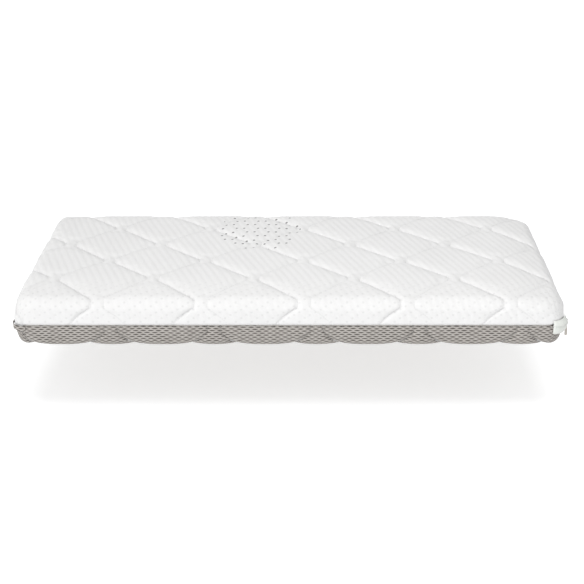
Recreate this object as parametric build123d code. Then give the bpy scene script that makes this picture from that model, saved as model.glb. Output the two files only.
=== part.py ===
from build123d import *
import os

# Pressure relief mattress for a small bed: a foam core in a quilted cover that unzips on three sides.
# Millimetres. X runs along the length, Y across the width, Z up. The origin is the middle of the
# underside. The plain long side, where the two halves of the cover hinge, faces -Y.

# Overall size
length = 1180.0
width = 560.0
height = 115.0
seam_z = 50.0            # line where the white upper half meets the grey lower half
corner_radius = 26.0     # vertical corners, in plan
edge_radius = 22.0       # long soft edges, top and bottom

# Layers of the cover, from the outside in
skin = 1.2               # knitted face above, mesh face below
padding = 5.0            # wadding above, spacer yarn below
backing = 0.8            # net that the quilting stitches pull against
cover = skin + padding + backing

# Foam core
side_gap = 5.0           # room for the cover to swing past the core
top_gap = 1.0
core_edge_radius = 11.0
support_height = 60.0
glue_height = 0.6
slot_width = 6.0
slot_depth = 22.0
slot_pitch = 52.0
slots_per_zone = 5
zone_pitch = 360.0
vent_diameter = 12.0
vent_pitch = 72.0

# Zip
zip_half_gap = 5.0       # from the zip line to the cut edge of either face
tape_reach = 15.0        # height of one tape
tape_channel = 16.0      # padding is cut back this far from the zip line
tape_outer = 1.3         # depth of the tape below the outer face
tape_inner = 2.2
coil_proud = 0.4
coil_near = 0.45         # from the zip line to the near side of one coil
coil_far = 3.0
front_wrap = 24.0        # the tapes turn the front corners and end this far along the front
stop_length = 2.2
stop_gap = 0.6
split_margin = 7.5       # the upper tape comes free this far behind the slider's middle
split_gap = 3.0          # lets the top corner of the free tape swing clear of the parked one

# Slider and pull
slider_length = 11.0
slider_park = 2.5        # from the end of the corner to the parked slider
slider_half_width = 4.4
flange = 1.0
plate_gap = 0.2
plate = 1.2
web = 0.6
back_plate = (2.5, 3.5)  # depth of the plate behind the tapes
bar_radius = 0.8
bar_stand_off = 8.0      # from the end face of the mattress to the middle of the bridge bar
bridge_leg = 1.4
bridge_width = 3.0
pull_length = 37.0
pull_thickness = 1.4
pull_width = 6.0
pull_neck = 3.0
pull_eye_radius = 2.2
pull_hole_radius = 1.0
pull_clearance = 0.1

# Flap over the parked slider, and the tab at the other end of the zip
flap_proud = (0.7, 1.9)
flap_on_front = 21.0
flap_on_end = 24.0
flap_bottom = 27.0
flap_top = 67.0
flap_split = 0.4
tab_on_front = 13.0
tab_on_end = 18.0
tab_drop = 11.0

# Small inner pieces
binding = 1.0
binding_reach = 16.0
seam_tape_drop = 10.0
label_size = (0.5, 36.0, 11.5)

clear = 100.0            # how far the cutting boxes reach past the mattress
half_length = length / 2
half_width = width / 2
slider_y = -half_width + corner_radius + slider_length / 2 + slider_park
split_y = slider_y + split_margin
stop_y = slider_y - slider_length / 2 - stop_gap


def rounded_block(inset):
    """The mattress outline, drawn in on every side by inset."""
    block = Box(length - 2 * inset, width - 2 * inset, height - 2 * inset)
    block = Pos(0, 0, height / 2) * block
    block = fillet(block.edges().filter_by(Axis.Z), corner_radius - inset)
    caps = block.faces().sort_by(Axis.Z)
    return fillet(caps[0].edges() + caps[-1].edges(), edge_radius - inset)


def slab(low, high):
    """All of the plan between two heights."""
    return Pos(0, 0, (low + high) / 2) * Box(length + clear, width + clear, high - low)


def region(x_range, y_range, z_range):
    """A box between two places on each axis."""
    spans = (x_range, y_range, z_range)
    sizes = [high - low for low, high in spans]
    middle = [(high + low) / 2 for low, high in spans]
    return Pos(*middle) * Box(*sizes)


def zip_zone(low, high):
    """The plan between two heights, without the plain stretch of the front."""
    reach = half_length - front_wrap
    front = region((-reach, reach), (-half_width - clear, -half_width + corner_radius), (low, high))
    return slab(low, high) - front


def band(outer, inner, low, high):
    """An upright ring that follows the outline, between two depths and two heights."""
    ring = None
    for inset in (outer, inner):
        outline = RectangleRounded(length - 2 * inset, width - 2 * inset, corner_radius - inset)
        column = Pos(0, 0, low) * extrude(outline, high - low)
        ring = column if ring is None else ring - column
    return ring


def corner_box(side, reach_x, reach_y, low, high):
    """The space round one front corner: side is 1 at the slider's end and -1 at the other."""
    x_range = sorted((side * (half_length - reach_x), side * (half_length + clear)))
    return region(x_range, (-half_width - clear, -half_width + reach_y), (low, high))


def cover_layer(outer, inner):
    return rounded_block(outer) - rounded_block(inner)


def upper_layer(outer, inner, zip_edge):
    layer = cover_layer(outer, inner) & slab(seam_z, height + clear)
    return layer - zip_zone(seam_z, seam_z + zip_edge)


def lower_layer(outer, inner, zip_edge):
    layer = cover_layer(outer, inner) & slab(-clear, seam_z)
    return layer - zip_zone(seam_z - zip_edge, seam_z)


def corner_bindings(low, high):
    """Strips that bind the upright seams inside the four corners."""
    ring = band(cover, cover + binding, low, high)
    across = half_length - cover - binding_reach
    along = half_width - cover - binding_reach
    ring -= region((-across, across), (-half_width, half_width), (low, high))
    return ring - region((-half_length, half_length), (-along, along), (low, high))


def free_zone(low, high):
    """The stretch of zip that comes apart: both ends and the back, behind the parked slider."""
    x_range = (-half_length - clear, half_length + clear)
    return region(x_range, (split_y + split_gap, half_width + clear), (low, high))


def parked_zone(low, high):
    """The two short stretches at the front corners where the zip stays closed."""
    reach = split_y + half_width
    return corner_box(1, front_wrap, reach, low, high) + corner_box(-1, front_wrap, reach, low, high)


def coil_start(low, high):
    """Space in front of the stops, where the tapes carry no coil."""
    x_range = (-half_length - clear, half_length + clear)
    return region(x_range, (-half_width - clear, stop_y), (low, high))


def support_core():
    """Firm foam with cross slots in three zones, so that it gives under the heavier parts."""
    x_size = length - 2 * (cover + side_gap)
    y_size = width - 2 * (cover + side_gap)
    core = Pos(0, 0, cover + support_height / 2) * Box(x_size, y_size, support_height)
    core = fillet(core.edges().filter_by(Axis.Z), corner_radius - cover - side_gap)
    core = fillet(core.faces().sort_by(Axis.Z)[0].edges(), core_edge_radius)
    slot = Box(slot_width, width, slot_depth)
    for zone in range(-1, 2):
        for place in range(slots_per_zone):
            x = zone * zone_pitch + (place - (slots_per_zone - 1) / 2) * slot_pitch
            core -= Pos(x, 0, cover + slot_depth / 2) * slot
    return core


def core_outline():
    x_size = length - 2 * (cover + side_gap)
    y_size = width - 2 * (cover + side_gap)
    return RectangleRounded(x_size, y_size, corner_radius - cover - side_gap)


def core_glue():
    return Pos(0, 0, cover + support_height) * extrude(core_outline(), glue_height)


def comfort_layer():
    """Slow-recovery foam with a grid of air holes."""
    low = cover + support_height + glue_height
    high = height - cover - top_gap
    layer = Pos(0, 0, low) * extrude(core_outline(), high - low)
    layer = fillet(layer.faces().sort_by(Axis.Z)[-1].edges(), core_edge_radius)
    columns = int((length - 2 * vent_pitch) // vent_pitch)
    rows = int((width - 2 * cover - vent_pitch) // vent_pitch)
    vents = GridLocations(vent_pitch, vent_pitch, columns, rows) * Circle(vent_diameter / 2)
    return layer - Pos(0, 0, low) * extrude(Sketch() + vents, high - low)


def front_seam_tape():
    reach = half_length - 2 * corner_radius
    ring = band(cover, cover + backing, seam_z - seam_tape_drop, seam_z - flap_split)
    return ring & region((-reach, reach), (-half_width, -half_width + corner_radius), (0, height))


def care_label():
    """A blank label sewn inside the far end of the lower cover."""
    thick, wide, tall = label_size
    x = -half_length + cover + thick / 2
    return Pos(x, 0, seam_z - tape_channel - tall / 2) * Box(thick, wide, tall)


def lower_tape():
    ring = band(tape_outer, tape_inner, seam_z - tape_reach, seam_z - coil_near)
    return ring & zip_zone(0, height)


def lower_coil():
    ring = band(-coil_proud, tape_outer, seam_z - coil_far, seam_z - coil_near)
    return (ring & zip_zone(0, height)) - coil_start(0, height)


def upper_tape():
    ring = band(tape_outer, tape_inner, seam_z + coil_near, seam_z + tape_reach)
    return ring & free_zone(0, height)


def upper_coil():
    ring = band(-coil_proud, tape_outer, seam_z + coil_near, seam_z + coil_far)
    return ring & free_zone(0, height)


def parked_tapes():
    """Ends of the upper tape, sewn down at the two front corners."""
    ring = band(tape_outer, tape_inner, seam_z + coil_near, seam_z + tape_reach)
    return ring & zip_zone(0, height) & parked_zone(0, height)


def parked_coils():
    """Ends of the upper coil, which stay meshed when the cover is thrown back."""
    ring = band(-coil_proud, tape_outer, seam_z + coil_near, seam_z + coil_far)
    return (ring & parked_zone(0, height)) - coil_start(0, height)


def stop_pair(side):
    """Two clamps, one on each tape, that close the end of the coils."""
    x_range = sorted((side * (half_length - tape_outer), side * (half_length + coil_proud)))
    y_range = (stop_y - stop_length, stop_y)
    upper = region(x_range, y_range, (seam_z + coil_near, seam_z + coil_far))
    lower = region(x_range, y_range, (seam_z - coil_far, seam_z - coil_near))
    return upper, lower


def top_stops():
    upper, lower = stop_pair(1)
    return Compound(children=[upper, lower])


def bottom_stop():
    """One box across both coils."""
    x_range = (-half_length - coil_proud, -half_length + tape_outer)
    return region(x_range, (stop_y - 2 * stop_length, stop_y), (seam_z - coil_far, seam_z + coil_far))


def flap(low, high):
    near, far = flap_proud
    ring = band(-far, -near, low, high)
    return ring & corner_box(1, flap_on_front, flap_on_end, low, high)


def zip_end_tab():
    near, far = flap_proud
    low = seam_z - tab_drop
    ring = band(-far, -near, low, seam_z - flap_split)
    return ring & corner_box(-1, tab_on_front, tab_on_end, low, seam_z)


def slider_body():
    """Two plates joined by a thin web, side flanges over the coils, and a bridge for the pull."""
    front_plate_x = coil_proud + plate_gap
    half = slider_length / 2
    wide = slider_half_width
    body = region((front_plate_x, front_plate_x + plate), (-half, half), (-wide, wide))
    body = fillet(body.edges().filter_by(Axis.X), 2.0)
    back = region((-back_plate[1], -back_plate[0]), (-half, half), (-wide, wide))
    body += fillet(back.edges().filter_by(Axis.X), 2.0)
    for side in (-1, 1):
        z_range = sorted((side * (wide - flange), side * wide))
        body += region((0.3 - tape_outer, front_plate_x), (-half + 2, half - 2), z_range)
    body += region((-back_plate[0], front_plate_x), (-half + 0.5, -half + 3.5), (-web / 2, web / 2))
    plate_top = front_plate_x + plate
    leg_y = half - bridge_leg
    for side in (-1, 1):
        y_range = sorted((side * leg_y, side * half))
        leg = region((plate_top, bar_stand_off + bar_radius), y_range, (-bridge_width / 2, bridge_width / 2))
        body += leg
    bar = Rotation(90, 0, 0) * Cylinder(bar_radius, 2 * leg_y)
    body += Pos(bar_stand_off, 0, 0) * bar
    return Pos(half_length, slider_y, seam_z) * body


def zip_pull():
    """A stamped tab: an eye round the bar, a narrow neck, then a drop with a hole in it."""
    drop_radius = pull_width / 2
    drop_z = -(pull_length - drop_radius)
    hole_z = -0.45 * pull_length
    half_neck = pull_neck / 2
    neck = make_hull([
        *(Pos(0, 0) * Circle(half_neck)).edges(),
        *(Pos(0, hole_z) * Circle(half_neck)).edges(),
    ])
    drop = make_hull([
        *(Pos(0, hole_z) * Circle(half_neck + 0.6)).edges(),
        *(Pos(0, drop_z) * Circle(drop_radius)).edges(),
    ])
    outline = Circle(pull_eye_radius) + neck + drop
    outline -= Circle(bar_radius + pull_clearance)
    outline -= Pos(0, hole_z) * Circle(pull_hole_radius)
    tab = Rotation(90, 0, 0) * extrude(outline, pull_thickness / 2, both=True)
    return Pos(half_length + bar_stand_off, slider_y, seam_z) * tab


nodes = {
    "top_knit": upper_layer(0, skin, zip_half_gap),
    "top_wadding": upper_layer(skin, skin + padding, tape_channel),
    "top_backing": upper_layer(skin + padding, cover, tape_channel),
    "top_corner_bindings": corner_bindings(seam_z + tape_channel, height - edge_radius),
    "base_mesh": lower_layer(0, skin, zip_half_gap),
    "base_spacer": lower_layer(skin, skin + padding, tape_channel),
    "base_lining": lower_layer(skin + padding, cover, tape_channel),
    "base_corner_bindings": corner_bindings(edge_radius, seam_z - tape_channel),
    "front_seam_tape": front_seam_tape(),
    "care_label": care_label(),
    "support_core": support_core(),
    "core_glue": core_glue(),
    "comfort_layer": comfort_layer(),
    "lower_zip_tape": lower_tape(),
    "lower_zip_coil": lower_coil(),
    "upper_zip_tape": upper_tape(),
    "upper_zip_coil": upper_coil(),
    "parked_zip_tapes": parked_tapes(),
    "parked_zip_coils": parked_coils(),
    "zip_top_stops": top_stops(),
    "zip_bottom_stop": bottom_stop(),
    "zip_end_tab": zip_end_tab(),
    "garage_flap_lower": flap(flap_bottom, seam_z - flap_split),
    "garage_flap_upper": flap(seam_z + flap_split, flap_top),
    "zip_slider": slider_body(),
    "zip_pull": zip_pull(),
}

os.makedirs("parts", exist_ok=True)
for name, shape in nodes.items():
    export_step(shape, f"parts/{name}.step")
    print(f"{name}: {shape.volume / 1000:.1f} cm3")
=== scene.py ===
import math

import bmesh
import bpy
import numpy as np
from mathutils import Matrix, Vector
from mathutils.bvhtree import BVHTree
from mathutils.interpolate import poly_3d_calc


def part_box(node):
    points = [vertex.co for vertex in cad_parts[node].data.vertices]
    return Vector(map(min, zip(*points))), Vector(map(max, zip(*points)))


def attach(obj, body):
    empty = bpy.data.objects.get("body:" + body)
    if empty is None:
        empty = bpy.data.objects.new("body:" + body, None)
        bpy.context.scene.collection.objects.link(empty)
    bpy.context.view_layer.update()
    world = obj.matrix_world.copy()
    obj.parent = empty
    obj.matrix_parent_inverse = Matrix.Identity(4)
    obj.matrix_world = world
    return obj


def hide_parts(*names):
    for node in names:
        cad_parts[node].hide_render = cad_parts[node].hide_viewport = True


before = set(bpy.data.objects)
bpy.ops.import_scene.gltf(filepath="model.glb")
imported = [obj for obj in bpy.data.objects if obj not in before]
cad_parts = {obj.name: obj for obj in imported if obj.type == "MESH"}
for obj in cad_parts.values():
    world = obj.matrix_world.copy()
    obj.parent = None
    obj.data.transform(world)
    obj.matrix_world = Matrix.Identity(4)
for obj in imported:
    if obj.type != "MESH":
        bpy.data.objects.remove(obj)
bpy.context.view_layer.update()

# Looks of a quilted pressure relief mattress. Metres, in the frame of the CAD model.

# ---------------------------------------------------------------- sizes read from the frame
KNIT_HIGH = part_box("top_knit")[1]
BASE_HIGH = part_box("base_mesh")[1]
HALF_X = KNIT_HIGH.x
HALF_Y = KNIT_HIGH.y
TOP_Z = KNIT_HIGH.z
SEAM_Z = BASE_HIGH.z
EDGE_RADIUS = 0.025
BASE_EDGE_RADIUS = 0.017
CORNER_RADIUS = 0.026
SOFT_CORNER = 0.052          # the soft top is rounder in plan than the zip line below it
COVER_THICKNESS = 0.007
ZIP_HALF_GAP = 0.005
ZIP_WRAP = 0.024             # the zip starts this far along the front from each front corner

# ---------------------------------------------------------------- quilting
QUILT_HALF = 0.110           # from a row of nodes to the next
TOP_NODE = (-0.408, -0.273)  # one node of the upper quilting, on the flattened cloth
BASE_NODE = (-0.380, -0.318)
NODE_HALF_WIDTH = 0.014      # the stitching stops this far to each side of a node
NODE_HALF_TICK = 0.012
GROOVE_DEPTH = 0.0034
GROOVE_WIDTH = 0.0050
VALLEY_DEPTH = 0.0019        # the sharp valley at the bottom of a groove
VALLEY_WIDTH = 0.0024
TUCK, ZIP_TUCK = 0.0022, 0.0008          # how far the rim rolls in, at the seam and at the zip
PUFF = 0.0017
PUFF_REACH = 0.026
SWELL = 0.0012               # most that the simulation may move the cloth
SIMULATED_FRAMES = 20
SLACK = 0.25                 # the lines that run back to the right are sewn slacker
GRID = QUILT_HALF / 16       # coarse grid for the simulation, halved afterwards
ARC_STEPS = 5
CORNER_STEPS = 6
LEFT_LEAN = 0.003            # the left end leans in by this much above the seam
BASE_LEAN = 0.007            # both ends of the base lean in by this much at the bottom
SKEW = 0.017                 # the left end stands out of square by this much at the back

# How far the lying face drops towards each edge, and how far in the drop begins
RIGHT_DROP, RIGHT_REACH = 0.012, 0.110
LEFT_DROP, LEFT_REACH = 0.003, 0.060
FRONT_DROP, FRONT_REACH = 0.012, 0.130
BACK_DROP, BACK_REACH = 0.004, 0.070

# Knit figure: small dents in slanting rows, ribs, and pairs of dyed dots in one patch
DENT_PITCH = 0.0338
DENT_ROW = 0.0088
DOT_PITCH = 0.0507
DOT_ROW = 0.0262
DOT_PAIR = 0.0176
FIRST_DOT = (-0.0911, 0.1845)
RIBS_ACROSS, RIBS_ALONG = 59.0, 20.0     # ribs for each metre, along x and along y
RIB_HEIGHT = 0.00036
PATCH_CENTRE = (-0.070, 0.150)
PATCH_SIZE = (0.098, 0.135)

MESH_PITCH = 0.0163          # one lens-shaped hole of the spacer mesh and the bar beside it
MESH_ROW = 0.0047

STITCH_PITCH = 0.0062
STITCH_LENGTH = 0.0046
STITCH_HALF_WIDTH = 0.00045

# Zip
ZIP_START_Y = -0.2521        # front end of the coils, on both ends of the mattress
ZIP_SPLIT_Y = -0.2385        # behind this the upper coil belongs to the cover
ZIP_FREE_Y = -0.2355
FLAP_FRONT = 0.0255          # how far the flap reaches from the corner, along the front and the end
FLAP_END = 0.030
FLAP_BULGE = 0.0068
STRIP_THICKNESS = 0.0008
FLAP_LOW = 0.030
FLAP_HIGH = (0.0605, 0.0665)  # top edge of the flap at its front end and at its other end
TOOTH_PITCH = 0.0020
TOOTH_FAR = 0.0030
TOOTH_NEAR = 0.00045         # leaves room for the web of the slider
TOOTH_HALF_WIDTH = 0.00046
TOOTH_HALF_DEPTH = 0.0008
TOOTH_INSET = 0.00045        # from the cover's outline to the middle of a tooth

# Stage and camera. The camera was fitted with its roll and yaw assumed to be zero
FLOOR_Z = -0.14
CAMERA_PLACE = (0.0067, -3.112, 1.2513)
CAMERA_DOWN = 21.655         # degrees below the horizon
CAMERA_LENS = 89.0


# ---------------------------------------------------------------- mesh helpers
def make_object(name, vertices, faces, materials=()):
    mesh = bpy.data.meshes.new(name)
    mesh.from_pydata([tuple(v) for v in vertices], [], [tuple(f) for f in faces])
    mesh.update()
    for material in materials:
        mesh.materials.append(material)
    mesh.polygons.foreach_set("use_smooth", [True] * len(mesh.polygons))
    piece = bpy.data.objects.new(name, mesh)
    bpy.context.scene.collection.objects.link(piece)
    return piece


def read_vectors(items, field):
    values = np.empty(len(items) * 3)
    items.foreach_get(field, values)
    return values.reshape(-1, 3)


def read_points(piece):
    return read_vectors(piece.data.vertices, "co")


def write_points(piece, points):
    piece.data.vertices.foreach_set("co", np.asarray(points, float).ravel())
    piece.data.update()


def read_normals(piece):
    return read_vectors(piece.data.vertex_normals, "vector")


def set_cloth(piece, places):
    """Keeps each vertex's place on the flattened cloth, for the patterns in the materials."""
    attribute = piece.data.attributes.new("cloth", "FLOAT_VECTOR", "POINT")
    flat = np.zeros((len(places), 3))
    flat[:, : places.shape[1]] = places
    attribute.data.foreach_set("vector", flat.ravel())


def get_cloth(piece):
    return read_vectors(piece.data.attributes["cloth"].data, "vector")[:, :2]


def apply_modifiers(piece):
    graph = bpy.context.evaluated_depsgraph_get()
    mesh = bpy.data.meshes.new_from_object(piece.evaluated_get(graph))
    piece.modifiers.clear()
    piece.data = mesh


def smooth(low, high, value):
    """0 below low, 1 above high, and smooth between."""
    share = np.clip((value - low) / (high - low), 0.0, 1.0)
    return share * share * (3.0 - 2.0 * share)


# ---------------------------------------------------------------- material helpers
class Nodes:
    """Writes a node material in a few plain words."""

    def __init__(self, name, roughness=0.9, sheen=0.0, metallic=0.0):
        self.material = bpy.data.materials.new(name)
        self.material.use_nodes = True
        self.tree = self.material.node_tree
        self.shader = self.tree.nodes["Principled BSDF"]
        self.shader.inputs["Roughness"].default_value = roughness
        self.shader.inputs["Metallic"].default_value = metallic
        self.shader.inputs["Sheen Weight"].default_value = sheen
        self.shader.inputs["Specular IOR Level"].default_value = 0.25 if metallic == 0 else 0.5

    def add(self, kind, **settings):
        node = self.tree.nodes.new(kind)
        for key, value in settings.items():
            setattr(node, key, value)
        return node

    def link(self, output, target):
        self.tree.links.new(output, target)

    def math(self, operation, a, b=None, c=None):
        node = self.add("ShaderNodeMath", operation=operation)
        for socket, value in zip(node.inputs, (a, b, c)):
            if value is None:
                continue
            if isinstance(value, (int, float)):
                socket.default_value = value
            else:
                self.link(value, socket)
        return node.outputs[0]

    def cloth(self):
        node = self.add("ShaderNodeAttribute", attribute_name="cloth")
        split = self.add("ShaderNodeSeparateXYZ")
        self.link(node.outputs["Vector"], split.inputs[0])
        return split.outputs[0], split.outputs[1], node.outputs["Vector"]

    def place(self):
        node = self.add("ShaderNodeTexCoord")
        split = self.add("ShaderNodeSeparateXYZ")
        self.link(node.outputs["Object"], split.inputs[0])
        return split.outputs[0], split.outputs[1], split.outputs[2], node.outputs["Object"]

    def noise(self, vector, scale, detail=2.0):
        node = self.add("ShaderNodeTexNoise")
        node.inputs["Scale"].default_value = scale
        node.inputs["Detail"].default_value = detail
        self.link(vector, node.inputs["Vector"])
        return node.outputs["Fac"]

    def ramp(self, value, stops):
        node = self.add("ShaderNodeValToRGB")
        elements = node.color_ramp.elements
        while len(elements) < len(stops):
            elements.new(0.5)
        for element, (position, colour) in zip(elements, stops):
            element.position = position
            element.color = (*colour, 1.0)
        self.link(value, node.inputs[0])
        return node.outputs[0]

    def colour(self, output):
        self.link(output, self.shader.inputs["Base Color"])

    def bump(self, height, distance, strength=1.0):
        node = self.add("ShaderNodeBump")
        node.inputs["Distance"].default_value = distance
        node.inputs["Strength"].default_value = strength
        self.link(height, node.inputs["Height"])
        self.link(node.outputs[0], self.shader.inputs["Normal"])


def grey(value, warm=0.0):
    """A near-neutral colour, a little warmer where warm is above 0."""
    return (value * (1 + warm), value, value * (1 - warm))


def lattice(n, x, y, pitch, row, slant=0.5):
    """Offset from the middle of a cell, where each row is shifted by a share of the pitch."""
    rows = n.math("DIVIDE", y, row)
    whole = n.math("ROUND", rows)
    v = n.math("MULTIPLY", n.math("SUBTRACT", rows, whole), row)
    shifted = n.math("SUBTRACT", n.math("DIVIDE", x, pitch), n.math("MULTIPLY", whole, slant))
    u = n.math("MULTIPLY", n.math("SUBTRACT", shifted, n.math("ROUND", shifted)), pitch)
    return u, v


def length(n, a, b):
    return n.math("SQRT", n.math("ADD", n.math("MULTIPLY", a, a), n.math("MULTIPLY", b, b)))


def fade(n, value, none, full):
    """0 where the value is none, 1 where it is full, and smooth between."""
    node = n.add("ShaderNodeMapRange", interpolation_type="SMOOTHSTEP")
    node.inputs["From Min"].default_value = none
    node.inputs["From Max"].default_value = full
    n.link(value, node.inputs["Value"])
    return node.outputs[0]


def groove(n, x, y, node, width, slack=0.0):
    """1 on the quilting's stitches, less on the slack lines, and 0 further off than the width."""
    away_x = n.math("SUBTRACT", x, node[0])
    away_y = n.math("SUBTRACT", y, node[1])
    u, v = lattice(n, away_x, away_y, 2 * QUILT_HALF, QUILT_HALF)
    a = n.math("SUBTRACT", n.math("ABSOLUTE", u), NODE_HALF_WIDTH)
    b = n.math("SUBTRACT", n.math("ABSOLUTE", v), NODE_HALF_TICK)
    run = QUILT_HALF - 2 * NODE_HALF_WIDTH
    rise = QUILT_HALF - 2 * NODE_HALF_TICK
    diagonal = math.hypot(run, rise)
    across = n.math("MULTIPLY", b, run / diagonal)
    across = n.math("SUBTRACT", n.math("MULTIPLY", a, rise / diagonal), across)
    turn = n.math("MULTIPLY", n.math("SIGN", u), n.math("DIVIDE", v, NODE_HALF_TICK))
    turn = n.math("MAXIMUM", n.math("MINIMUM", turn, 1.0), -1.0)
    front = fade(n, y, node[1] + 0.004, node[1] - 0.004)
    turn = n.math("MULTIPLY", turn, n.math("MULTIPLY_ADD", front, -2.0, 1.0))
    tight = n.math("MULTIPLY_ADD", turn, -slack, 1.0 - slack)
    is_tick = n.math("LESS_THAN", b, 0.0)
    to_line = n.math("MULTIPLY", n.math("SUBTRACT", 1.0, is_tick), n.math("ABSOLUTE", across))
    to_tick = n.math("MULTIPLY", is_tick, n.math("ABSOLUTE", a))
    return n.math("MULTIPLY", tight, fade(n, n.math("ADD", to_line, to_tick), width, 0.0))


def knit_material():
    """White jersey: fine knit, painted shade of the slanting ribs, dents, and one round patch where the dots
    are dyed.
    """
    n = Nodes("white_knit", roughness=0.95, sheen=0.2)
    x, y, vector = n.cloth()
    u, v = lattice(n, x, y, DENT_PITCH, DENT_ROW, 1 / 3)
    near_front = fade(n, y, -0.13, -0.26)
    dents = n.math("MULTIPLY", fade(n, length(n, u, v), 0.0042, 0.0006), near_front)
    from_dot_x = n.math("SUBTRACT", x, FIRST_DOT[0])
    from_dot_y = n.math("SUBTRACT", y, FIRST_DOT[1])
    u, v = lattice(n, from_dot_x, from_dot_y, DOT_PITCH, DOT_ROW)
    pair = length(n, n.math("SUBTRACT", n.math("ABSOLUTE", u), DOT_PAIR / 2), v)
    px = n.math("DIVIDE", n.math("SUBTRACT", x, PATCH_CENTRE[0]), PATCH_SIZE[0])
    py = n.math("DIVIDE", n.math("SUBTRACT", y, PATCH_CENTRE[1]), PATCH_SIZE[1])
    dyed = n.math("MULTIPLY", fade(n, pair, 0.0041, 0.0018), n.math("LESS_THAN", length(n, px, py), 1.0))
    phase = n.math("ADD", n.math("MULTIPLY", x, RIBS_ACROSS), n.math("MULTIPLY", y, RIBS_ALONG))
    ribs = n.math("SINE", n.math("MULTIPLY_ADD", phase, 2 * math.pi, math.pi / 2))
    seam = groove(n, x, y, TOP_NODE, 0.0046, 2 * SLACK)
    clouds = n.math("SUBTRACT", n.noise(vector, 7.0), 0.5)
    tone = n.math("MULTIPLY_ADD", clouds, 0.12, 0.70)
    # Painted shade of the ribs: crests painted lighter and troughs darker, fading out near the front.
    tone = n.math("MULTIPLY_ADD", n.math("MULTIPLY", ribs, n.math("SUBTRACT", 1.0, near_front)), 0.042, tone)
    tone = n.math("MULTIPLY_ADD", dents, -0.13, tone)
    tone = n.math("MULTIPLY_ADD", dyed, -0.62, tone)
    darks = [(0.0, grey(0.14)), (0.25, grey(0.34))]
    lights = [(0.5, grey(0.68, 0.004)), (0.7, grey(0.80, 0.004)), (0.9, grey(0.86))]
    n.colour(n.ramp(tone, darks + lights))
    rows = n.math("SINE", n.math("MULTIPLY", y, 2 * math.pi / 0.0021))
    loops = n.math("SINE", n.math("MULTIPLY", x, 2 * math.pi / 0.0016))
    knit = n.math("MULTIPLY", n.math("MULTIPLY", rows, loops), 0.10)
    fine = n.math("MULTIPLY", n.noise(vector, 900.0, 1.0), 0.15)
    height = n.math("MULTIPLY_ADD", dents, -0.30, n.math("ADD", knit, fine))
    height = n.math("MULTIPLY_ADD", seam, -1.1, height)
    n.bump(height, 0.0010, 0.9)
    return n.material


def mesh_material():
    """Grey spacer mesh: rows of lens-shaped holes between light wavy strands, and painted shade along the
    quilting grooves.
    """
    n = Nodes("grey_mesh", roughness=0.9, sheen=0.1)
    x, y, vector = n.cloth()
    shift = n.math("MULTIPLY", n.math("SUBTRACT", n.noise(vector, 9.0), 0.5), 0.008)
    u, v = lattice(n, n.math("ADD", x, shift), n.math("ADD", y, shift), MESH_PITCH, MESH_ROW)
    u_share = n.math("DIVIDE", n.math("ABSOLUTE", u), MESH_PITCH * 0.42)
    v_share = n.math("DIVIDE", n.math("ABSOLUTE", v), MESH_ROW * 0.32)
    edge = n.math("MULTIPLY_ADD", u_share, u_share, v_share)
    hole = fade(n, edge, 1.3, 0.4)
    seam = groove(n, x, y, BASE_NODE, 0.0050)
    fine = n.noise(vector, 1500.0, 1.0)
    uneven = n.math("MULTIPLY_ADD", n.noise(vector, 60.0), 0.24, 0.60)
    tone = n.math("MULTIPLY_ADD", fine, 0.10, uneven)
    tone = n.math("MULTIPLY_ADD", hole, -0.56, tone)
    # Painted shade: the colour is darkened along each quilting groove.
    tone = n.math("MULTIPLY_ADD", seam, -0.05, tone)
    darks = [(0.03, grey(0.050, 0.12)), (0.35, grey(0.11, 0.10))]
    lights = [(0.60, grey(0.30, 0.08)), (0.80, grey(0.45, 0.06))]
    n.colour(n.ramp(tone, darks + lights))
    yarn = n.math("SINE", n.math("MULTIPLY", x, 2 * math.pi / 0.0011))
    height = n.math("SUBTRACT", n.math("MULTIPLY", yarn, 0.08), hole)
    height = n.math("MULTIPLY_ADD", fine, 0.2, height)
    height = n.math("MULTIPLY_ADD", seam, -1.2, height)
    n.bump(height, 0.0011, 0.8)
    return n.material


def net_material(name, tone, spacing):
    """Thin open net of the inside of the cover."""
    n = Nodes(name, roughness=0.95)
    x, y, vector = n.cloth()
    u, v = lattice(n, x, y, spacing, spacing / 2)
    span = n.math("ADD", n.math("ABSOLUTE", u), n.math("ABSOLUTE", v))
    fine = n.noise(vector, 500.0)
    pores = n.math("ADD", n.math("MULTIPLY", span, 0.8 / spacing), n.math("MULTIPLY", fine, 0.3))
    n.colour(n.ramp(pores, [(0.1, grey(tone * 0.55)), (0.35, grey(tone)), (0.8, grey(min(1.0, tone * 1.1)))]))
    n.bump(pores, 0.0005, 0.7)
    return n.material


def foam_material(name, colour, pore):
    """Cut foam: a fine open-cell grain with larger cells here and there."""
    n = Nodes(name, roughness=1.0)
    vector = n.place()[3]
    cells = n.add("ShaderNodeTexVoronoi")
    cells.inputs["Scale"].default_value = 1 / pore
    n.link(vector, cells.inputs["Vector"])
    patches = n.noise(vector, 12.0)
    grain = n.math("MULTIPLY", cells.outputs["Distance"], 0.7)
    grain = n.math("ADD", grain, n.math("MULTIPLY", patches, 0.3))
    dark = tuple(0.7 * c for c in colour)
    light = tuple(min(1.0, 1.06 * c) for c in colour)
    n.colour(n.ramp(grain, [(0.0, dark), (0.35, colour), (0.8, light)]))
    n.bump(grain, 0.0006, 0.7)
    return n.material


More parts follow.
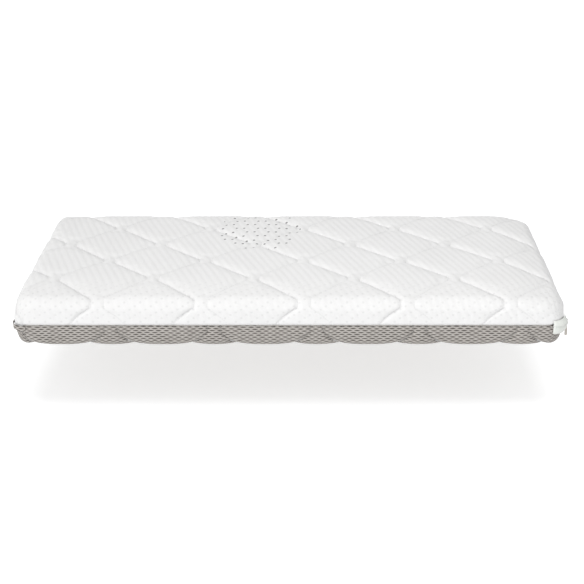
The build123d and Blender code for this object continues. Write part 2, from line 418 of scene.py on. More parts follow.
def woven_material(name, colour, thread=0.0009, roughness=0.85):
    """Plain weave for tapes, bindings and the flap."""
    n = Nodes(name, roughness=roughness, sheen=0.15)
    x, y, z, vector = n.place()
    around = n.math("ADD", x, y)
    warp = n.math("SINE", n.math("MULTIPLY", around, 2 * math.pi / thread))
    weft = n.math("SINE", n.math("MULTIPLY", z, 2 * math.pi / thread))
    weave = n.math("MULTIPLY_ADD", n.math("MULTIPLY", warp, weft), 0.5, 0.5)
    patches = n.noise(vector, 60.0)
    tone = n.math("MULTIPLY_ADD", patches, 0.4, n.math("MULTIPLY", weave, 0.5))
    dark = tuple(0.82 * c for c in colour)
    light = tuple(min(1.0, 1.05 * c) for c in colour)
    n.colour(n.ramp(tone, [(0.15, dark), (0.5, colour), (0.85, light)]))
    n.bump(weave, 0.25 * thread, 0.8)
    return n.material


def plastic_material(name, colour, roughness):
    n = Nodes(name, roughness=roughness)
    vector = n.place()[3]
    marks = n.noise(vector, 220.0)
    dark = tuple(0.88 * c for c in colour)
    n.colour(n.ramp(marks, [(0.25, dark), (0.7, colour)]))
    n.bump(marks, 0.00006, 0.5)
    return n.material


def metal_material():
    """Nickel-plated die casting with rubbed edges and fine scratches."""
    n = Nodes("zip_metal", roughness=0.32, metallic=0.85)
    vector = n.place()[3]
    worn = n.noise(vector, 400.0, 4.0)
    scratches = n.noise(vector, 2400.0, 1.0)
    tone = n.math("MULTIPLY_ADD", scratches, 0.3, n.math("MULTIPLY", worn, 0.7))
    n.colour(n.ramp(tone, [(0.3, grey(0.26, 0.10)), (0.5, grey(0.42, 0.08)), (0.7, grey(0.56, 0.06))]))
    rough = n.math("MULTIPLY_ADD", worn, 0.3, 0.2)
    n.link(rough, n.shader.inputs["Roughness"])
    n.bump(scratches, 0.00004, 0.6)
    return n.material


WHITE = knit_material()
GREY = mesh_material()
TOP_NET = net_material("backing_net", 0.78, 0.0022)
BASE_NET = net_material("lining_net", 0.42, 0.0026)
COMFORT = foam_material("comfort_foam", (0.86, 0.87, 0.76), 0.0011)
SUPPORT = foam_material("support_foam", (0.85, 0.79, 0.60), 0.0016)
GLUE = foam_material("foam_glue", (0.74, 0.70, 0.52), 0.0030)
TAPE = woven_material("zip_tape", grey(0.74))
BINDING = woven_material("binding_tape", grey(0.72))
FLAP = woven_material("flap_fabric", (0.77, 0.79, 0.75), 0.0007, 0.7)
LABEL = woven_material("blank_label", grey(0.85), 0.0005, 0.5)
COIL = plastic_material("zip_coil", grey(0.72), 0.35)
THREAD = woven_material("white_thread", grey(0.80), 0.0006, 0.6)
GREY_THREAD = woven_material("grey_thread", grey(0.30), 0.0004, 0.6)
METAL = metal_material()


# ---------------------------------------------------------------- quilting pattern
def quilt_distance(cloth, node):
    """Distance from each place on the cloth to the nearest stitching, and which way that line runs:
    1 where it runs back to the left, -1 where it runs back to the right.

    Nodes lie on a square lattice turned by 45 degrees. Each line of stitching is a zigzag whose
    corners are cut off by a short tick beside a node, so that two neighbours never meet."""
    u = (cloth[:, 0] - node[0]) / QUILT_HALF
    v = (cloth[:, 1] - node[1]) / QUILT_HALF
    gap, tick = NODE_HALF_WIDTH / QUILT_HALF, NODE_HALF_TICK / QUILT_HALF
    along = np.array([1 - 2 * gap, 1 - 2 * tick])
    to_stitch = np.full(len(cloth), 1e9)
    way = np.zeros(len(cloth))
    for du in (-1, 0, 1, 2):
        for dv in (-1, 0, 1, 2):
            node_u, node_v = np.floor(u) + du, np.floor(v) + dv
            is_node = (np.abs(node_u + node_v) % 2) < 0.5
            x, y = np.abs(u - node_u), np.abs(v - node_v)
            to_tick = np.hypot(x - gap, np.maximum(y - tick, 0.0))
            offset = np.stack([x - gap, y - tick], 1)
            share = np.clip((offset @ along) / (along @ along), 0.0, 1.0)
            to_line = np.linalg.norm(offset - share[:, None] * along, axis=1)
            nearest = np.minimum(to_tick, to_line)
            closer = is_node & (nearest < to_stitch)
            to_stitch = np.where(closer, nearest, to_stitch)
            way = np.where(closer, np.clip((node_v - v) * np.sign(u - node_u) / tick, -1, 1), way)
    return to_stitch * QUILT_HALF, way


def stitch_paths(node, half_x, half_y):
    """The straight runs of stitching on the flattened cloth, as pairs of end points."""
    reach_u = int(half_x / QUILT_HALF) + 3
    reach_v = int(half_y / QUILT_HALF) + 3
    runs = []
    for i in range(-2, 2 * reach_u):
        for j in range(-reach_v, reach_v + 1):
            if (i + j) % 2:
                continue
            x, y = node[0] + i * QUILT_HALF, node[1] + j * QUILT_HALF
            for side in (-1, 1):
                edge = x + side * NODE_HALF_WIDTH
                runs.append(((edge, y - NODE_HALF_TICK), (edge, y + NODE_HALF_TICK)))
            for way in (-1, 1):
                start = (x + NODE_HALF_WIDTH, y + way * NODE_HALF_TICK)
                end = (x + (QUILT_HALF - NODE_HALF_WIDTH), y + way * (QUILT_HALF - NODE_HALF_TICK))
                runs.append((start, end))
    return runs


# ---------------------------------------------------------------- one half of the cover
def grid_lines(half, through, step):
    """Places from -half to half in equal steps through one given place, with both ends added."""
    first = through - math.floor((through + half) / step) * step
    count = int((half - first) / step) + 1
    lines = [first + k * step for k in range(count)]
    inner = [p for p in lines if abs(p) < half - step * 0.4]
    return [-half, *inner, half]


def edge_radius(upward):
    return EDGE_RADIUS if upward else BASE_EDGE_RADIUS


def wall_height(upward):
    """Height of the straight part of the side wall."""
    return (TOP_Z - SEAM_Z if upward else SEAM_Z) - edge_radius(upward)


def profile_rows(upward, step):
    """(distance out, fall, developed length) from the flat face's inner rectangle down to the seam."""
    roll = edge_radius(upward)
    lead = CORNER_RADIUS - roll
    rows = [(lead, 0.0, lead)]
    for k in range(1, ARC_STEPS + 1):
        angle = math.pi / 2 * k / ARC_STEPS
        out = lead + roll * math.sin(angle)
        rows.append((out, roll * (1 - math.cos(angle)), lead + roll * angle))
    wall = wall_height(upward)
    count = max(3, round(wall / step))
    for k in range(1, count + 1):
        drop = wall * k / count
        rows.append((CORNER_RADIUS, roll + drop, lead + roll * math.pi / 2 + drop))
    return rows


def cover_half(name, upward, node):
    """Outer face of one half of the cover as an even grid: flat panel, rolled edge and side wall."""
    sign = 1.0 if upward else -1.0
    flat_z = TOP_Z if upward else 0.0
    inner_x, inner_y = HALF_X - CORNER_RADIUS, HALF_Y - CORNER_RADIUS
    xs = grid_lines(inner_x, node[0], GRID)
    ys = grid_lines(inner_y, node[1], GRID)
    across = len(xs)
    vertices = [(x, y, flat_z) for y in ys for x in xs]
    cloth = [(x, y) for y in ys for x in xs]
    faces = []
    for j in range(len(ys) - 1):
        for i in range(across - 1):
            low = j * across + i
            faces.append((low, low + 1, low + across + 1, low + across))
    last = (len(ys) - 1) * across
    sides = (
        (list(range(across)), -math.pi / 2),
        ([j * across + across - 1 for j in range(len(ys))], 0.0),
        ([last + i for i in reversed(range(across))], math.pi / 2),
        ([j * across for j in reversed(range(len(ys)))], math.pi),
    )
    ring = []
    for border, angle in sides:
        ring += [(v, angle) for v in border]
        ring += [(border[-1], angle + math.pi / 2 * k / CORNER_STEPS) for k in range(1, CORNER_STEPS)]
    previous = [v for v, _ in ring]
    for out, fall, developed in profile_rows(upward, GRID):
        current = []
        for v, angle in ring:
            x, y, _ = vertices[v]
            current.append(len(vertices))
            vertices.append((x + out * math.cos(angle), y + out * math.sin(angle), flat_z - sign * fall))
            cloth.append((x + developed * math.cos(angle), y + developed * math.sin(angle)))
        for k in range(len(ring)):
            n = (k + 1) % len(ring)
            corners = [previous[k], current[k], current[n], previous[n]]
            faces.append(corners[:3] if previous[k] == previous[n] else corners)
        previous = current
    if not upward:
        faces = [f[::-1] for f in faces]
    piece = make_object(name, vertices, faces)
    set_cloth(piece, np.array(cloth))
    return piece


def along_zip(points):
    """1 on the three sides that the zip runs along, 0 on the plain front and at the corner without a flap."""
    x, y = points[:, 0], points[:, 1]
    front = 1.0 - smooth(-HALF_Y + 0.004, -HALF_Y + 0.020, y)
    at_flap = smooth(HALF_X - ZIP_WRAP - 0.008, HALF_X - ZIP_WRAP + 0.004, x)
    return 1.0 - front * (1.0 - at_flap)


def open_zip_gap(points, upward):
    """Draws the cut edge back from the seam line along the zip."""
    sign = 1.0 if upward else -1.0
    height = (points[:, 2] - SEAM_Z) * sign
    share = 1.0 - np.clip(height / wall_height(upward), 0.0, 1.0)
    points[:, 2] += sign * ZIP_HALF_GAP * share * along_zip(points)
    return points


def round_corners(points, strength):
    """Draws the corners in, so that the plan is rounder there. strength is from 0 to 1 for each point."""
    centre = np.array([HALF_X - SOFT_CORNER, HALF_Y - SOFT_CORNER])
    place = np.abs(points[:, :2]) - centre
    inside = (place > 0).all(1)
    angle = np.arctan2(place[:, 1], place[:, 0])
    angle = np.minimum(angle, math.pi / 2 - angle)
    offset = SOFT_CORNER - CORNER_RADIUS
    c, s = np.cos(angle), np.sin(angle)
    straight = SOFT_CORNER / np.maximum(c, 1e-6)
    middle = offset * (c + s)
    rounded = middle + np.sqrt(np.maximum(middle**2 - 2 * offset**2 + CORNER_RADIUS**2, 0.0))
    edge = np.where(straight * s <= offset, straight, rounded)
    scale = 1.0 + strength * (SOFT_CORNER / edge - 1.0)
    back_left = (points[:, 0] < 0) & (points[:, 1] > 0)     # this corner stays nearly square
    scale = np.where(back_left, 1.0 + 0.25 * (scale - 1.0), scale)
    moved = np.sign(points[:, :2]) * (centre + place * scale[:, None])
    points[:, :2] = np.where(inside[:, None], moved, points[:, :2])
    return points


def lean_ends(points):
    """Leans the left end in above the seam, and both ends in below it."""
    high = smooth(SEAM_Z + 0.005, TOP_Z - 0.010, points[:, 2])
    low = 1.0 - np.clip(points[:, 2] / SEAM_Z, 0.0, 1.0)
    near_left = 1.0 - smooth(-HALF_X, -HALF_X + 0.12, points[:, 0])
    near_right = smooth(HALF_X - 0.12, HALF_X, points[:, 0])
    points[:, 0] += high * LEFT_LEAN * near_left + low * BASE_LEAN * (near_left - near_right)
    return points


def lower_edges(points):
    """Lowers the lying face towards its edges, most at the right end."""
    x, y = points[:, 0].copy(), points[:, 1].copy()
    high = smooth(SEAM_Z + 0.015, TOP_Z - 0.008, points[:, 2])
    edges = (
        (HALF_X - x, RIGHT_DROP, RIGHT_REACH),
        (HALF_X + x, LEFT_DROP, LEFT_REACH),
        (HALF_Y + y, FRONT_DROP, FRONT_REACH),
        (HALF_Y - y, BACK_DROP, BACK_REACH),
    )
    for distance, drop, reach in edges:
        points[:, 2] -= high * drop * (1.0 - smooth(-0.3 * reach, reach, distance))
    return points


def soften(points):
    """Rounds and leans everything away from the seam, and lowers the edges of the lying face."""
    high = smooth(SEAM_Z, TOP_Z, points[:, 2])
    low = 1.0 - smooth(0.0, SEAM_Z, points[:, 2])
    return lower_edges(lean_ends(round_corners(points, np.maximum(high, 0.4 * low))))


def skew(points):
    """Draws the left end in towards the back, as the cover's seam does."""
    points = np.array(points, float)
    back = np.clip((points[:, 1] + HALF_Y) / (2 * HALF_Y), 0.0, 1.0)
    near_left = 1.0 - smooth(-HALF_X, -HALF_X + 0.30, points[:, 0])
    points[:, 0] += SKEW * back * near_left
    return points


def groove_height(to_stitch):
    """How far the cloth is pulled in at a line of stitching, from 1 on the line to 0 away from it."""
    return np.exp(-((to_stitch / GROOVE_WIDTH) ** 2))


def on_front(cloth):
    """1 on the front face, 0 on the lying face, and smooth over the rolled edge between them."""
    return 1.0 - smooth(-HALF_Y - 0.010, -HALF_Y + 0.035, cloth[:, 1])


def tightness(cloth, way):
    """How hard the stitching pulls. The slack lines run back to the right, or left on the front face."""
    front = 1.0 - smooth(TOP_NODE[1] - 0.004, TOP_NODE[1] + 0.004, cloth[:, 1])
    return 1.0 - 2.0 * SLACK * (1.0 - way * (1.0 - 2.0 * front)) * (1.0 - 0.15 * front)


def give(points):
    """A tenth at the seam and over the zip tapes behind it, 1 further away."""
    distance = np.abs(points[:, 2] - SEAM_Z)
    return 0.1 + 0.9 * smooth(ZIP_HALF_GAP, 0.020, distance - 0.010 * along_zip(points))


def puff_cover(piece, node, upward):
    """Raises the cloth between the lines of stitching and pulls it in along them."""
    points, normals = read_points(piece), read_normals(piece)
    cloth = get_cloth(piece)
    to_stitch, way = quilt_distance(cloth, node)
    tight = tightness(cloth, way) if upward else 1.0
    puff = PUFF * (1.0 - 0.7 * on_front(cloth))
    pulled = GROOVE_DEPTH * tight * groove_height(to_stitch)
    height = puff * (smooth(0.0, PUFF_REACH, to_stitch) - 0.4) - pulled
    if not upward:
        turned = 1.0 - smooth(0.004, 0.034, points[:, 2])
        height = np.minimum(height - 0.6 * PUFF, 0.0) * (0.5 + 0.5 * turned)
        height -= 0.0020 * turned * (1.0 - smooth(0.0, 0.036, to_stitch))
    points += normals * (height * give(points))[:, None]
    write_points(piece, points)


def simulate_cover(piece, node):
    """Blows the cloth up between its stitches for a few frames, so that it puckers as a quilt does."""
    start = read_points(piece)
    to_stitch, _ = quilt_distance(get_cloth(piece), node)
    held = to_stitch < GRID * 0.55
    held |= np.abs(start[:, 2] - SEAM_Z) < ZIP_HALF_GAP + 0.002
    group = piece.vertex_groups.new(name="held")
    group.add([int(i) for i in np.flatnonzero(held)], 1.0, "REPLACE")
    modifier = piece.modifiers.new("cloth", "CLOTH")
    settings = modifier.settings
    settings.quality = 5
    settings.mass = 0.2
    settings.tension_stiffness = 12
    settings.compression_stiffness = 12
    settings.shear_stiffness = 6
    settings.bending_stiffness = 0.4
    settings.shrink_min = -0.015
    settings.use_pressure = True
    settings.uniform_pressure_force = 3.0
    settings.vertex_group_mass = "held"
    settings.effector_weights.gravity = 0.0
    modifier.collision_settings.use_collision = False
    scene = bpy.context.scene
    scene.frame_start, scene.frame_end = 1, SIMULATED_FRAMES
    for step in range(1, SIMULATED_FRAMES + 1):
        scene.frame_set(step)
    apply_modifiers(piece)
    scene.frame_set(1)
    moved = read_points(piece) - start
    travel = np.linalg.norm(moved, axis=1, keepdims=True)
    cap = SWELL * (1.0 - 0.7 * on_front(get_cloth(piece)))
    moved *= np.minimum(1.0, cap[:, None] / np.maximum(travel, 1e-9))
    write_points(piece, start + moved)
    piece.vertex_groups.clear()


def refine(piece):
    """Halves the grid and smooths it."""
    modifier = piece.modifiers.new("finer", "SUBSURF")
    modifier.levels = modifier.render_levels = 1
    apply_modifiers(piece)


def inner_face(piece, name, node):
    """The net side of the cover: drawn towards the outer face along each line of stitching."""
    copy = bpy.data.objects.new(name, piece.data.copy())
    bpy.context.scene.collection.objects.link(copy)
    points, normals = read_points(copy), read_normals(copy)
    to_stitch, _ = quilt_distance(get_cloth(copy), node)
    depth = COVER_THICKNESS - 0.0008 * groove_height(to_stitch)
    write_points(copy, points - normals * depth[:, None])
    copy.data.flip_normals()
    return copy


def close_shell(outer, inner, materials):
    """Joins the outer and inner faces round their rims into one closed piece."""
    outer.data.materials.clear()
    for material in materials:
        outer.data.materials.append(material)
    count = len(outer.data.polygons)
    bm = bmesh.new()
    bm.from_mesh(outer.data)
    bm.from_mesh(inner.data)
    bm.faces.ensure_lookup_table()
    for face in bm.faces[count:]:
        face.material_index = 1
    rims = [e for e in bm.edges if e.is_boundary]
    bmesh.ops.bridge_loops(bm, edges=rims)
    for face in bm.faces:
        face.smooth = True
    bmesh.ops.recalc_face_normals(bm, faces=bm.faces)
    bm.to_mesh(outer.data)
    bm.free()
    bpy.data.objects.remove(inner)


def tuck_rim(piece, upward):
    """Rolls the last few millimetres of the outer face inwards, so that the seam is a soft valley."""
    points, normals = read_points(piece), read_normals(piece)
    sign = 1.0 if upward else -1.0
    at_zip = along_zip(points)
    height = (points[:, 2] - SEAM_Z) * sign - ZIP_HALF_GAP * at_zip
    tuck = (TUCK - (TUCK - ZIP_TUCK) * at_zip) * (1.0 - smooth(0.0, 0.006, height)) ** 2
    flat = normals.copy()
    flat[:, 2] = 0.0
    write_points(piece, points - flat * tuck[:, None])


def fine_relief(piece, node, upward):
    """Sharp valley along each line of stitching, and the knit's ribs."""
    points, normals = read_points(piece), read_normals(piece)
    cloth = get_cloth(piece)
    to_stitch, way = quilt_distance(cloth, node)
    tight = tightness(cloth, way) if upward else 1.0
    height = -VALLEY_DEPTH * tight * np.exp(-((to_stitch / VALLEY_WIDTH) ** 2))
    if upward:
        phase = 2 * math.pi * (RIBS_ACROSS * cloth[:, 0] + RIBS_ALONG * cloth[:, 1])
        height += RIB_HEIGHT * np.cos(phase) * smooth(0.004, 0.012, to_stitch)
    write_points(piece, points + normals * (height * give(points))[:, None])


class ClothMap:
    """Finds the place on a finished piece of a point on its flattened cloth."""

    def __init__(self, piece):
        flat = get_cloth(piece)
        self.points = read_points(piece)
        self.normals = read_normals(piece)
        self.flat = [Vector((x, y, 0.0)) for x, y in flat]
        self.faces = [tuple(p.vertices) for p in piece.data.polygons]
        self.tree = BVHTree.FromPolygons(self.flat, self.faces)

    def find(self, x, y):
        """Point and normal on the piece, or None off the edge of the cloth."""
        place, _, index, distance = self.tree.find_nearest(Vector((x, y, 0.0)))
        if place is None or distance > 0.0002:
            return None
        corners = self.faces[index]
        weights = np.array(poly_3d_calc([self.flat[c] for c in corners], place))
        weights /= weights.sum()
        return weights @ self.points[list(corners)], weights @ self.normals[list(corners)]


def add_stitch(vertices, faces, middle, along, up):
    """One stitch: a slim eight-sided lozenge that dips into the cloth at both ends."""
    side = np.cross(along, up)
    side /= max(np.linalg.norm(side), 1e-9)
    base = len(vertices)
    half = STITCH_LENGTH / 2
    vertices.append(middle - along * half - up * 0.0004)
    for share in (-0.5, 0.5):
        for turn in range(4):
            angle = math.pi / 2 * turn
            lift = 0.00035 + STITCH_HALF_WIDTH * math.sin(angle)
            offset = side * (STITCH_HALF_WIDTH * math.cos(angle)) + up * lift
            vertices.append(middle + along * (half * share) + offset)
    vertices.append(middle + along * half - up * 0.0004)
    for turn in range(4):
        after = (turn + 1) % 4
        faces.append((base, base + 1 + turn, base + 1 + after))
        faces.append((base + 1 + turn, base + 5 + turn, base + 5 + after, base + 1 + after))
        faces.append((base + 5 + turn, base + 9, base + 5 + after))


def hem_runs(out):
    """Straight runs of stitching round the flattened cloth, at one distance out from the flat panel."""
    x, y = HALF_X - CORNER_RADIUS, HALF_Y - CORNER_RADIUS
    return [
        ((-x, -y - out), (x, -y - out)),
        ((x + out, -y), (x + out, y)),
        ((x, y + out), (-x, y + out)),
        ((-x - out, y), (-x - out, -y)),
    ]


def sew_cover(piece, node, upward, body):
    """Thread along every line of quilting, and one row round the rim."""
    cloth_map = ClothMap(piece)
    vertices, faces = [], []
    reach = profile_rows(upward, GRID)[-1][2]
    for start, end in stitch_paths(node, HALF_X, HALF_Y) + hem_runs(reach - 0.003):
        start, end = np.array(start), np.array(end)
        run = np.linalg.norm(end - start)
        way = (end - start) / run
        count = max(2, round(run / STITCH_PITCH))
        for k in range(count):
            flat = start + way * (run * (k + 0.5) / count)
            here = cloth_map.find(*flat)
            ahead = cloth_map.find(*(flat + way * 0.0015))
            if here is None or ahead is None:
                continue
            along = ahead[0] - here[0]
            up = here[1] / max(np.linalg.norm(here[1]), 1e-9)
            add_stitch(vertices, faces, here[0], along / max(np.linalg.norm(along), 1e-9), up)
    name = "top_stitching" if upward else "base_stitching"
    thread = make_object(name, vertices, faces, [THREAD if upward else GREY_THREAD])
    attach(thread, body)


def build_cover(name, upward, node, materials, replaced, body):
    piece = cover_half(name, upward, node)
    write_points(piece, skew(soften(open_zip_gap(read_points(piece), upward))))
    inner = inner_face(piece, name + "_inside", node)
    puff_cover(piece, node, upward)
    if upward:
        simulate_cover(piece, node)
    refine(piece)
    tuck_rim(piece, upward)
    fine_relief(piece, node, upward)
    sew_cover(piece, node, upward, body)
    close_shell(piece, inner, materials)
    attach(piece, body)
    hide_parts(*replaced)


TOP_LAYERS = ("top_knit", "top_wadding", "top_backing")
BASE_LAYERS = ("base_mesh", "base_spacer", "base_lining")
build_cover("quilted_top", True, TOP_NODE, (WHITE, TOP_NET), TOP_LAYERS, "top_cover")
build_cover("mesh_base", False, BASE_NODE, (GREY, BASE_NET), BASE_LAYERS, "root")


# ---------------------------------------------------------------- zip coils
def on_corner(centre_x, centre_y, angle):
    """Place on a rear corner of the seam line, with the outward direction."""
    x = centre_x + CORNER_RADIUS * math.cos(angle)
    y = centre_y + CORNER_RADIUS * math.sin(angle)
    return x, y, angle


def zip_path(low_y, high_y):
    """Places along the zip at each tooth between two values of y, with the outward direction.

    The zip runs back along the right end, along the back, and forward along the left end."""
    straight = HALF_Y - CORNER_RADIUS - ZIP_START_Y
    arc = CORNER_RADIUS * math.pi / 2
    back = 2 * (HALF_X - CORNER_RADIUS)
    corner_x, corner_y = HALF_X - CORNER_RADIUS, HALF_Y - CORNER_RADIUS
    places = []
    distance = TOOTH_PITCH / 2
    while distance < 2 * straight + 2 * arc + back:
        along = distance
        distance += TOOTH_PITCH
        if along < straight:
            places.append((HALF_X, ZIP_START_Y + along, 0.0))
            continue
        along -= straight
        if along < arc:
            places.append(on_corner(corner_x, corner_y, along / CORNER_RADIUS))
            continue
        along -= arc
        if along < back:
            places.append((corner_x - along, HALF_Y, math.pi / 2))
            continue
        along -= back
        if along < arc:
            places.append(on_corner(-corner_x, corner_y, math.pi / 2 + along / CORNER_RADIUS))
            continue
        places.append((-HALF_X, corner_y - (along - arc), math.pi))
    return [p for p in places if low_y < p[1] < high_y]


def build_coil(name, sign, low_y, high_y, replaced, body):
    """A row of interlocking teeth, each a rounded bar from the tape across the seam line."""
    vertices, faces = [], []
    shift = TOOTH_PITCH / 2 if sign < 0 else 0.0
    for x, y, angle in zip_path(low_y, high_y):
        out = np.array([math.cos(angle), math.sin(angle), 0.0])
        along = np.array([-math.sin(angle), math.cos(angle), 0.0])
        middle = np.array([x, y, SEAM_Z]) + along * shift - out * TOOTH_INSET
        base = len(vertices)
        rings = [(TOOTH_FAR, 0.7), (TOOTH_FAR - 0.0006, 1.0), (TOOTH_NEAR + 0.0006, 1.0), (TOOTH_NEAR, 0.6)]
        for height, size in rings:
            for turn in range(6):
                around = math.pi / 3 * turn
                offset = along * (TOOTH_HALF_WIDTH * size * math.cos(around))
                offset = offset + out * (TOOTH_HALF_DEPTH * size * math.sin(around))
                vertices.append(middle + offset + np.array([0.0, 0.0, sign * height]))
        for k in range(3):
            for turn in range(6):
                after = (turn + 1) % 6
                low, high = base + 6 * k, base + 6 * (k + 1)
                faces.append((low + turn, low + after, high + after, high + turn))
        faces.append(tuple(base + t for t in range(6)))
        faces.append(tuple(base + 18 + t for t in range(6)))
    coil = make_object(name, skew(vertices), faces, [COIL])
    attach(coil, body)
    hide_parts(replaced)


build_coil("lower_coil_teeth", -1.0, -math.inf, math.inf, "lower_zip_coil", "root")
build_coil("upper_coil_teeth", 1.0, ZIP_FREE_Y, math.inf, "upper_zip_coil", "top_cover")
build_coil("parked_coil_teeth", 1.0, -math.inf, ZIP_SPLIT_Y, "parked_zip_coils", "root")


# ---------------------------------------------------------------- flap and tab
def corner_strip(name, side, front, end, low, high, off, bulge, material):
    """A strip of cloth round one front corner. off is its distance from the cover at the bottom and top.

    low and high give the height of its edges at the front end of the strip and at the other end.
    bulge is how far it stands off at the corner, half way up the flap."""
    steps, rows = 30, 8
    arc = CORNER_RADIUS * math.pi / 2
    flat_front, flat_end = max(front - CORNER_RADIUS, 0.0), end - CORNER_RADIUS
    total = flat_front + arc + flat_end
    vertices, cloth = [], []
    for i in range(steps + 1):
        along = total * i / steps
        past = along - flat_front
        angle = -math.pi / 2 + min(max(past / CORNER_RADIUS, 0.0), math.pi / 2)
        out = np.array([math.cos(angle), math.sin(angle)])
        place_x = HALF_X - CORNER_RADIUS + min(past, 0.0)
        place = np.array([place_x, -HALF_Y + CORNER_RADIUS + max(past - arc, 0.0)])
        share = i / steps
        bottom = low[0] + (low[1] - low[0]) * share
        top = high[0] + (high[1] - high[0]) * share
        for j in range(rows + 1):
            lift = j / rows
            z = bottom + (top - bottom) * lift
            crest = FLAP_HIGH[0] + (FLAP_HIGH[1] - FLAP_HIGH[0]) * share
            belly = math.sin(math.pi * min(max((z - FLAP_LOW) / (crest - FLAP_LOW), 0.0), 1.0))
            puff = bulge * belly * math.sin(0.8 * math.pi * share) ** 0.7
            wave = 0.0003 * math.sin(9.0 * share + 5.0 * lift)
            distance = CORNER_RADIUS + off[0] + (off[1] - off[0]) * lift + puff + wave
            x, y = place + out * distance
            vertices.append((side * x, y, z))
            cloth.append((along, (top - bottom) * lift))
    faces = []
    for i in range(steps):
        for j in range(rows):
            a = i * (rows + 1) + j
            faces.append((a, a + rows + 1, a + rows + 2, a + 1))
    if side < 0:
        faces = [f[::-1] for f in faces]
    strip = make_object(name, vertices, faces, [material])
    set_cloth(strip, np.array(cloth))
    solid = strip.modifiers.new("thickness", "SOLIDIFY")
    solid.thickness = STRIP_THICKNESS
    solid.offset = 0.0
    apply_modifiers(strip)
    tall = (high[0] - low[0] + high[1] - low[1]) / 2
    return strip, (total, tall)


def build_flap():
    low, high, off = (0.031, FLAP_LOW), (0.052, 0.052), (0.0010, 0.0010)
    lower, lower_flat = corner_strip(
        "garage_flap_bottom", 1, FLAP_FRONT, FLAP_END, low, high, off, FLAP_BULGE, FLAP
    )
    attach(lower, "root")
    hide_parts("garage_flap_lower")
    low, off = (0.0485, 0.0485), (0.0021, 0.0008)
    upper, upper_flat = corner_strip(
        "garage_flap_top", 1, FLAP_FRONT, FLAP_END, low, FLAP_HIGH, off, FLAP_BULGE, FLAP
    )
    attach(upper, "top_cover")
    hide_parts("garage_flap_upper")


def build_end_tab():
    low, high, off = (0.038, 0.037), (0.0488, 0.0492), (0.0006, 0.0010)
    tab, tab_flat = corner_strip("zip_end_loop", -1, 0.028, 0.030, low, high, off, 0.0008, GREY)
    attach(tab, "root")
    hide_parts("zip_end_tab")


build_flap()
build_end_tab()


# ---------------------------------------------------------------- foam core, tapes and bindings
def build_from_cad(name, node_name, material, body, rounding):
    """A piece with the outline of a CAD solid, softly broken edges and the same give as the cover."""
    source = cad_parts[node_name]
    piece = bpy.data.objects.new(name, source.data.copy())
    bpy.context.scene.collection.objects.link(piece)
    piece.data.transform(source.matrix_world)
    bm = bmesh.new()
    bm.from_mesh(piece.data)
    bmesh.ops.remove_doubles(bm, verts=bm.verts, dist=1e-6)
    bmesh.ops.dissolve_limit(bm, angle_limit=math.radians(1.0), verts=bm.verts, edges=bm.edges)
    edges = [e for e in bm.edges if len(e.link_faces) == 2 and e.calc_face_angle(0.0) > math.radians(50)]
    bmesh.ops.bevel(bm, geom=edges, offset=rounding, segments=2, affect="EDGES", profile=0.5)
    bmesh.ops.triangulate(bm, faces=bm.faces)
    bm.to_mesh(piece.data)
    bm.free()
    write_points(piece, skew(soften(read_points(piece))))
    piece.data.materials.clear()
    piece.data.materials.append(material)
    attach(piece, body)
    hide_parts(node_name)
    return piece


for foam in (
    build_from_cad("support_foam_block", "support_core", SUPPORT, "root", 0.0012),
    build_from_cad("comfort_foam_block", "comfort_layer", COMFORT, "root", 0.0012),
):
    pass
build_from_cad("glue_line", "core_glue", GLUE, "root", 0.00015)
build_from_cad("sewn_in_label", "care_label", LABEL, "root", 0.0001)
build_from_cad("lower_tape", "lower_zip_tape", TAPE, "root", 0.0002)
build_from_cad("parked_tapes", "parked_zip_tapes", TAPE, "root", 0.0002)
build_from_cad("upper_tape", "upper_zip_tape", TAPE, "top_cover", 0.0002)
build_from_cad("top_bindings", "top_corner_bindings", BINDING, "top_cover", 0.0002)
build_from_cad("base_bindings", "base_corner_bindings", BINDING, "root", 0.0002)


# ---------------------------------------------------------------- carried-over pieces
CARRIED_OVER = {
    "front_seam_tape": BINDING,
    "zip_top_stops": METAL,
    "zip_bottom_stop": METAL,
    "zip_slider": METAL,
    "zip_pull": METAL,
}
for node_name, material in CARRIED_OVER.items():
    node_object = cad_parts[node_name]
    node_object.data.materials.clear()
    node_object.data.materials.append(material)
    if material is METAL:
        edge = node_object.modifiers.new("worn edges", "BEVEL")
        edge.width = 0.00018
        edge.segments = 2
        edge.limit_method = "ANGLE"


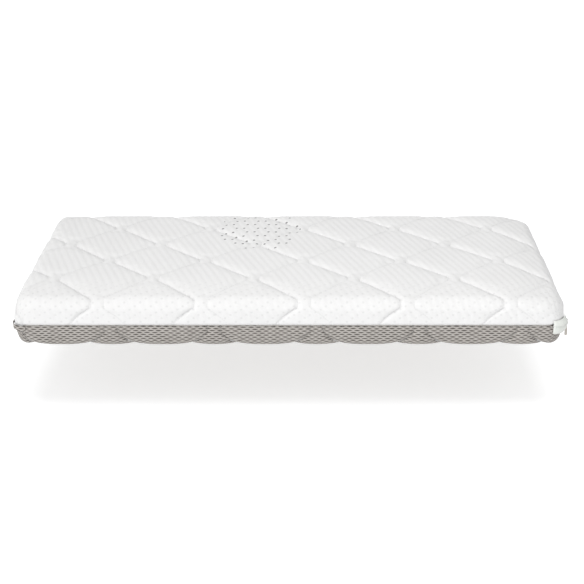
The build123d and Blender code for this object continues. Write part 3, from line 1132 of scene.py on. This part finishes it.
# ---------------------------------------------------------------- stage, light and camera
def build_stage():
    """A pale floor that glows a little, so that the shadow on it stays light and even."""
    size = 40.0
    corners = [(-size, -size, FLOOR_Z), (size, -size, FLOOR_Z), (size, size, FLOOR_Z), (-size, size, FLOOR_Z)]
    floor = make_object("floor", corners, [(0, 1, 2, 3)])
    n = Nodes("floor_paint", roughness=1.0)
    patches = n.noise(n.place()[3], 2.0)
    n.colour(n.ramp(patches, [(0.3, grey(0.80, -0.012)), (0.7, grey(0.81, -0.012))]))
    glow = n.ramp(patches, [(0.3, grey(0.99)), (0.7, grey(1.0))])
    n.link(glow, n.shader.inputs["Emission Color"])
    n.shader.inputs["Emission Strength"].default_value = 0.55
    floor.data.materials.append(n.material)
    return floor


def add_lamp(light, place, direction):
    lamp = bpy.data.objects.new(light.name, light)
    lamp.location = place
    lamp.rotation_euler = Vector(direction).to_track_quat("-Z", "Y").to_euler()
    bpy.context.scene.collection.objects.link(lamp)
    return lamp


def distant_light(name, direction, angle, strength):
    """A large far lamp that shines along the direction. angle is its apparent size in degrees."""
    light = bpy.data.lights.new(name, "SUN")
    light.angle = math.radians(angle)
    light.energy = strength
    return add_lamp(light, -2.0 * Vector(direction), direction)


def near_light(name, place, size, power):
    """A softbox that points at the origin, so that the mattress's front is lit more than its back."""
    light = bpy.data.lights.new(name, "AREA")
    light.size = size
    light.energy = power
    return add_lamp(light, place, -Vector(place))


def choose_receivers(lamp, piece, state):
    """INCLUDE lights only the piece, and EXCLUDE lights everything but the piece."""
    chosen = bpy.data.collections.new(lamp.name + " receivers")
    chosen.objects.link(piece)
    lamp.light_linking.receiver_collection = chosen
    chosen.collection_objects[0].light_linking.link_state = state


studio_floor = build_stage()
world = bpy.data.worlds.new("studio")
world.use_nodes = True
background = world.node_tree.nodes["Background"]
background.inputs["Color"].default_value = (1.0, 1.0, 1.0, 1.0)
background.inputs["Strength"].default_value = 0.56
bpy.context.scene.world = world
choose_receivers(distant_light("overhead", (0.0, 0.0, -1.0), 36, 0.93), studio_floor, "INCLUDE")
choose_receivers(distant_light("key", (1.0, 0.92, -0.72), 8, 1.10), studio_floor, "EXCLUDE")
choose_receivers(near_light("front box", (0.0, -0.85, 2.5), 0.8, 23.0), studio_floor, "EXCLUDE")
bpy.context.scene.view_settings.view_transform = "Standard"

camera_data = bpy.data.cameras.new("camera")
camera_data.lens = CAMERA_LENS
camera = bpy.data.objects.new("camera", camera_data)
camera.location = CAMERA_PLACE
camera.rotation_euler = (math.radians(90 - CAMERA_DOWN), 0.0, 0.0)
bpy.context.scene.collection.objects.link(camera)
bpy.context.scene.camera = camera
